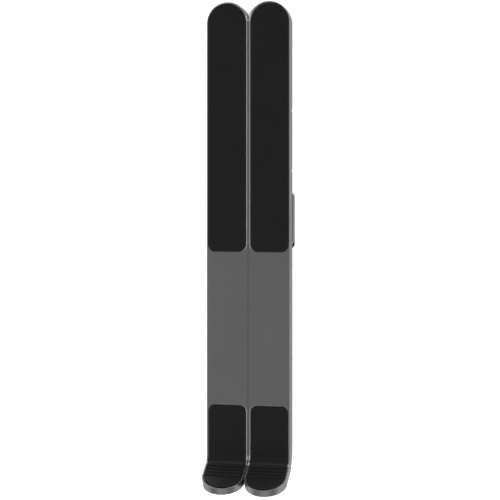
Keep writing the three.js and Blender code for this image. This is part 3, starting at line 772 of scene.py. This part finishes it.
# ---- Crossbars, rivets, spacers ----
def crossbar(low_z, high_z, bore_centre_on_top):
    """A flat bar with three rivet holes, counterbored from below, or from above at the centre hole."""
    body = raised(stadium(CROSSBAR_HALF, 0, CROSSBAR_LENGTH, steps=32), low_z, high_z)
    below, above = low_z - 1, high_z + 1
    for y in (0, CROSSBAR_LENGTH / 2, CROSSBAR_LENGTH):
        low, high = below, low_z + COUNTERBORE_DEPTH
        if bore_centre_on_top and y == CROSSBAR_LENGTH / 2:
            low, high = high_z - COUNTERBORE_DEPTH, above
        cut(body, upright_hole(RIVET_RADIUS + HOLE_CLEARANCE, 0, y, below, above))
        cut(body, upright_hole(RIVET_HEAD_RADIUS + COUNTERBORE_CLEARANCE, 0, y, low, high))
    return soften(body, CROSSBAR_EDGE)


def rivet(low_z, high_z, low_head, high_head):
    """A rivet with a rounded flat head at each end; the heads' thicknesses are given."""
    dome = RIVET_EASE * 0.32
    return turned([
        (RIVET_HEAD_RADIUS - 3 * RIVET_EASE, low_z),
        (RIVET_HEAD_RADIUS - RIVET_EASE, low_z + dome),
        (RIVET_HEAD_RADIUS, low_z + RIVET_EASE),
        (RIVET_HEAD_RADIUS, low_z + low_head),
        (RIVET_RADIUS, low_z + low_head),
        (RIVET_RADIUS, high_z - high_head),
        (RIVET_HEAD_RADIUS, high_z - high_head),
        (RIVET_HEAD_RADIUS, high_z - RIVET_EASE),
        (RIVET_HEAD_RADIUS - RIVET_EASE, high_z - dome),
        (RIVET_HEAD_RADIUS - 3 * RIVET_EASE, high_z),
    ])


def collar(low_z, high_z):
    """A spacer or washer ring with eased edges."""
    hole = RIVET_RADIUS + HOLE_CLEARANCE
    ease = min(0.2, (high_z - low_z) / 4)
    return turned([
        (hole, low_z), (SPACER_RADIUS - ease, low_z), (SPACER_RADIUS, low_z + ease),
        (SPACER_RADIUS, high_z - ease), (SPACER_RADIUS - ease, high_z), (hole, high_z),
    ], closed=True)


# ---- Feet ----
def eased(low, high, ease=FOOT_EASE):
    """A stacking profile with rounded lower and upper edges."""
    slope = ease * 0.3
    return [
        (ease, low), (slope, low + slope), (0, low + ease),
        (0, high - ease), (slope, high - slope), (ease, high),
    ]


def side_foot_contour(outer, front_y):
    """The side foot in plan, from a given front end, as a function of the inset."""
    def contour(inset):
        xs = sorted((outer * (SIDE_FOOT_INNER + inset), outer * (SIDE_FOOT_OUTER - inset)))
        corner = SIDE_FOOT_CORNER - inset
        return rounded_rectangle(*xs, front_y + inset, SOLE_HIGH.y - inset, corner)
    return contour


def side_foot(outer):
    """The metal block behind and above its sole, with a counterbored hole for each screw."""
    contour = side_foot_contour(outer, SOLE_LOW.y + SOLE_LIP + SOLE_GAP)
    body = layered(contour, eased(SOLE_TOP + SOLE_GAP, FOOT_TOP, SIDE_FOOT_EASE))
    for y in SCREW_YS:
        cut(body, upright_hole(SCREW_RADIUS + HOLE_CLEARANCE, outer * SCREW_X, y))
        cut(body, upright_hole(SCREW_BORE_RADIUS, outer * SCREW_X, y, 0, SOLE_TOP + SCREW_BORE_DEPTH))
    return body


def side_foot_sole(outer):
    """A flat sole that wraps up the block's front end."""
    contour = side_foot_contour(outer, SOLE_LOW.y)
    lip = layered(contour, eased(0, SOLE_HIGH.z, SOLE_EASE))
    lip_ys = (SOLE_LOW.y - SIDE_MARGIN, SOLE_LOW.y + SOLE_LIP)
    keep(lip, box(-LONG_MARGIN, LONG_MARGIN, *lip_ys, -SIDE_MARGIN, LONG_MARGIN))
    return join(layered(contour, eased(0, SOLE_TOP, SOLE_EASE)), lip)


def side_foot_screw():
    """A screw with its rounded head at the bottom."""
    chamfer = 0.2
    return turned([
        (SCREW_HEAD_RADIUS - 0.4, SCREW_HEAD_LOW),
        (SCREW_HEAD_RADIUS - 0.1, SCREW_HEAD_LOW + 0.1),
        (SCREW_HEAD_RADIUS, SCREW_HEAD_LOW + 0.3),
        (SCREW_HEAD_RADIUS, SCREW_HEAD_HIGH),
        (SCREW_RADIUS, SCREW_HEAD_HIGH),
        (SCREW_RADIUS, SCREW_TOP - chamfer),
        (SCREW_RADIUS - chamfer, SCREW_TOP),
    ])


def grip_grooves(body, half, first_y):
    """Shallow grooves across a foot's underside."""
    for i in range(GRIP_COUNT):
        y = first_y + GRIP_PITCH * i
        cut(body, box(-half, half, y - GRIP_HALF, y + GRIP_HALF, -1, GRIP_DEPTH))
    return body


def front_foot():
    """A rubber foot under a base bar's front end."""
    low, high = node_box("right_front_foot")
    half = (high.x - low.x) / 2

    def contour(inset):
        corner = FRONT_FOOT_CORNER - inset
        return rounded_rectangle(inset - half, half - inset, low.y + inset, high.y - inset, corner)

    body = layered(contour, eased(0, FOOT_TOP))
    return grip_grooves(body, half - FRONT_GRIP_RIM, low.y + FRONT_GRIP_FIRST)


def rear_foot():
    """A rubber foot that follows a base bar's round rear end."""
    low, high = node_box("right_rear_foot")
    half = (high.x - low.x) / 2

    def contour(inset):
        corner = REAR_FOOT_CORNER - inset
        front = low.y + inset
        return (
            arc(corner - half + inset, front + corner, corner, 180, 270, steps=6)
            + arc(half - inset - corner, front + corner, corner, 270, 360, steps=6)
            + arc(0, END_CENTRE_Y, half - inset, 0, 180, steps=32)
        )

    body = layered(contour, eased(0, FOOT_TOP))
    return grip_grooves(body, half - REAR_GRIP_RIM, low.y + REAR_GRIP_FIRST)


# ---- Assembly ----
def middle(node):
    """The middle of a CAD node's box, in millimetres."""
    low, high = node_box(node)
    return (low + high) / 2


HALF_PITCH = (middle("right_arm").x - middle("left_arm").x) / 2
SLIDE_Y = middle("right_slide_rivet").y
FRONT_PIVOT_Y = middle("right_front_rivet").y
FOLDED_ANGLE = math.asin(2 * HALF_PITCH / CROSSBAR_LENGTH)
SLOT_FRONT_Y = FRONT_PIVOT_Y + CROSSBAR_LENGTH * math.cos(FOLDED_ANGLE + SPREAD_ANGLE)


def place_rivet(node):
    low, high = node_box(node)
    centre = middle(node)
    high_head = BAR_HEAD_HEIGHT if high.z > FLOOR_TOP else CENTRE_HEAD_HEIGHT
    body = rivet(low.z, high.z, RIVET_HEAD_HEIGHT, high_head)
    place(body, node, STEEL, centre.x, centre.y)


def place_collar(node):
    low, high = node_box(node)
    centre = middle(node)
    place(collar(low.z, high.z), node, NYLON, centre.x, centre.y)


def place_crossbar(node, outer, bore_centre_on_top):
    low, high = node_box(node)
    bar = crossbar(low.z, high.z, bore_centre_on_top)
    turn = outer * FOLDED_ANGLE
    place(bar, node, BAR_METAL, outer * HALF_PITCH, FRONT_PIVOT_Y, turn)


def place_half(side, outer):
    """One arm with its pads, base bar, strut, pins, feet, screws and rivets; outer is its side's sign."""
    x = middle(f"{side}_arm").x
    place(arm(outer), f"{side}_arm", ARM_METAL, x)
    place(rear_pad(), f"{side}_rear_pad", SILICONE, x + outer * REAR_PAD_SHIFT)
    place(hook_pad(), f"{side}_hook_pad", SILICONE, x)
    bar = base_bar(outer, SLIDE_Y, FRONT_PIVOT_Y, SLOT_FRONT_Y)
    place(bar, f"{side}_base_bar", BAR_METAL, x)
    place(strut(), f"{side}_strut", BAR_METAL, x)
    place(cross_pin(PIN_RADIUS, PIN_HALF, HINGE_Y), f"{side}_hinge_pin", STEEL, x)
    place(cross_pin(PIN_RADIUS, PIN_HALF, STRUT_PIN_Y), f"{side}_strut_pin", STEEL, x)
    place(cross_pin(ROD_RADIUS, ROD_HALF, FOOT_ROD_Y), f"{side}_foot_rod", STEEL, x)
    place(front_foot(), f"{side}_front_foot", RUBBER, x)
    place(rear_foot(), f"{side}_rear_foot", RUBBER, x)
    place(side_foot(outer), f"{side}_side_foot", BAR_METAL, x)
    place(side_foot_sole(outer), f"{side}_side_foot_sole", RUBBER, x)
    for spot, y in zip(("front", "rear"), SCREW_YS):
        screw = f"{side}_side_foot_{spot}_screw"
        place(side_foot_screw(), screw, DARK_STEEL, x + outer * SCREW_X, y)
    place_rivet(f"{side}_front_rivet")
    place_rivet(f"{side}_slide_rivet")


place_half("left", -1)
place_half("right", 1)
place_rivet("centre_rivet")
for node in ("right_front_spacer", "left_slide_spacer", "centre_washer"):
    place_collar(node)
place_crossbar("lower_crossbar", 1, bore_centre_on_top=False)
place_crossbar("upper_crossbar", -1, bore_centre_on_top=True)


# ---- Floor and lights ----
LIGHT_AIM = Vector((0, 0, 0.01))


def make_floor():
    """A plain white floor that gives off a little light of its own."""
    reach = 2500
    thickness = 10
    material, shader = new_material("floor", (0.9, 0.9, 0.9), roughness=0.9, metallic=0.0)
    shader.inputs["Specular IOR Level"].default_value = 0.1
    shader.inputs["Emission Color"].default_value = (1, 1, 1, 1)
    shader.inputs["Emission Strength"].default_value = 0.4
    emboss(material, shader, noise(material, scale=40, detail=2), strength=0.02, distance=0.0002)
    floor = box(-reach, reach, -reach, reach, -thickness, 0)
    floor.name = "floor"
    floor.data.transform(Matrix.Scale(MM, 4))
    floor.data.materials.append(material)


def softbox(name, stand_at, width, height, power):
    """An area light in metres and watts, turned towards the object."""
    data = bpy.data.lights.new(name, "AREA")
    data.shape = "RECTANGLE"
    data.size = width
    data.size_y = height
    data.energy = power
    lamp = bpy.data.objects.new(name, data)
    bpy.context.scene.collection.objects.link(lamp)
    back = (Vector(stand_at) - LIGHT_AIM).normalized()
    turn = back.to_track_quat("Z", "Y").to_matrix().to_4x4()
    lamp.matrix_world = Matrix.Translation(stand_at) @ turn


def make_light():
    """An even white surround, with a large box at each side, a low strip behind and a box in front."""
    world = bpy.data.worlds.new("studio")
    world.use_nodes = True
    background = world.node_tree.nodes["Background"]
    background.inputs["Color"].default_value = (1, 1, 1, 1)
    background.inputs["Strength"].default_value = 0.42
    bpy.context.scene.world = world
    softbox("left_box", (-1.2, 0.0, 0.85), width=1.8, height=1.1, power=23)
    softbox("right_box", (1.0, 0.0, 1.15), width=1.8, height=1.2, power=21)
    softbox("rear_box", (0.0, 1.3, 0.1), width=1.6, height=0.18, power=9)
    softbox("front_box", (0.0, -1.2, 1.0), width=1.4, height=0.7, power=5)
    bpy.context.scene.view_settings.view_transform = "Standard"


make_floor()
make_light()
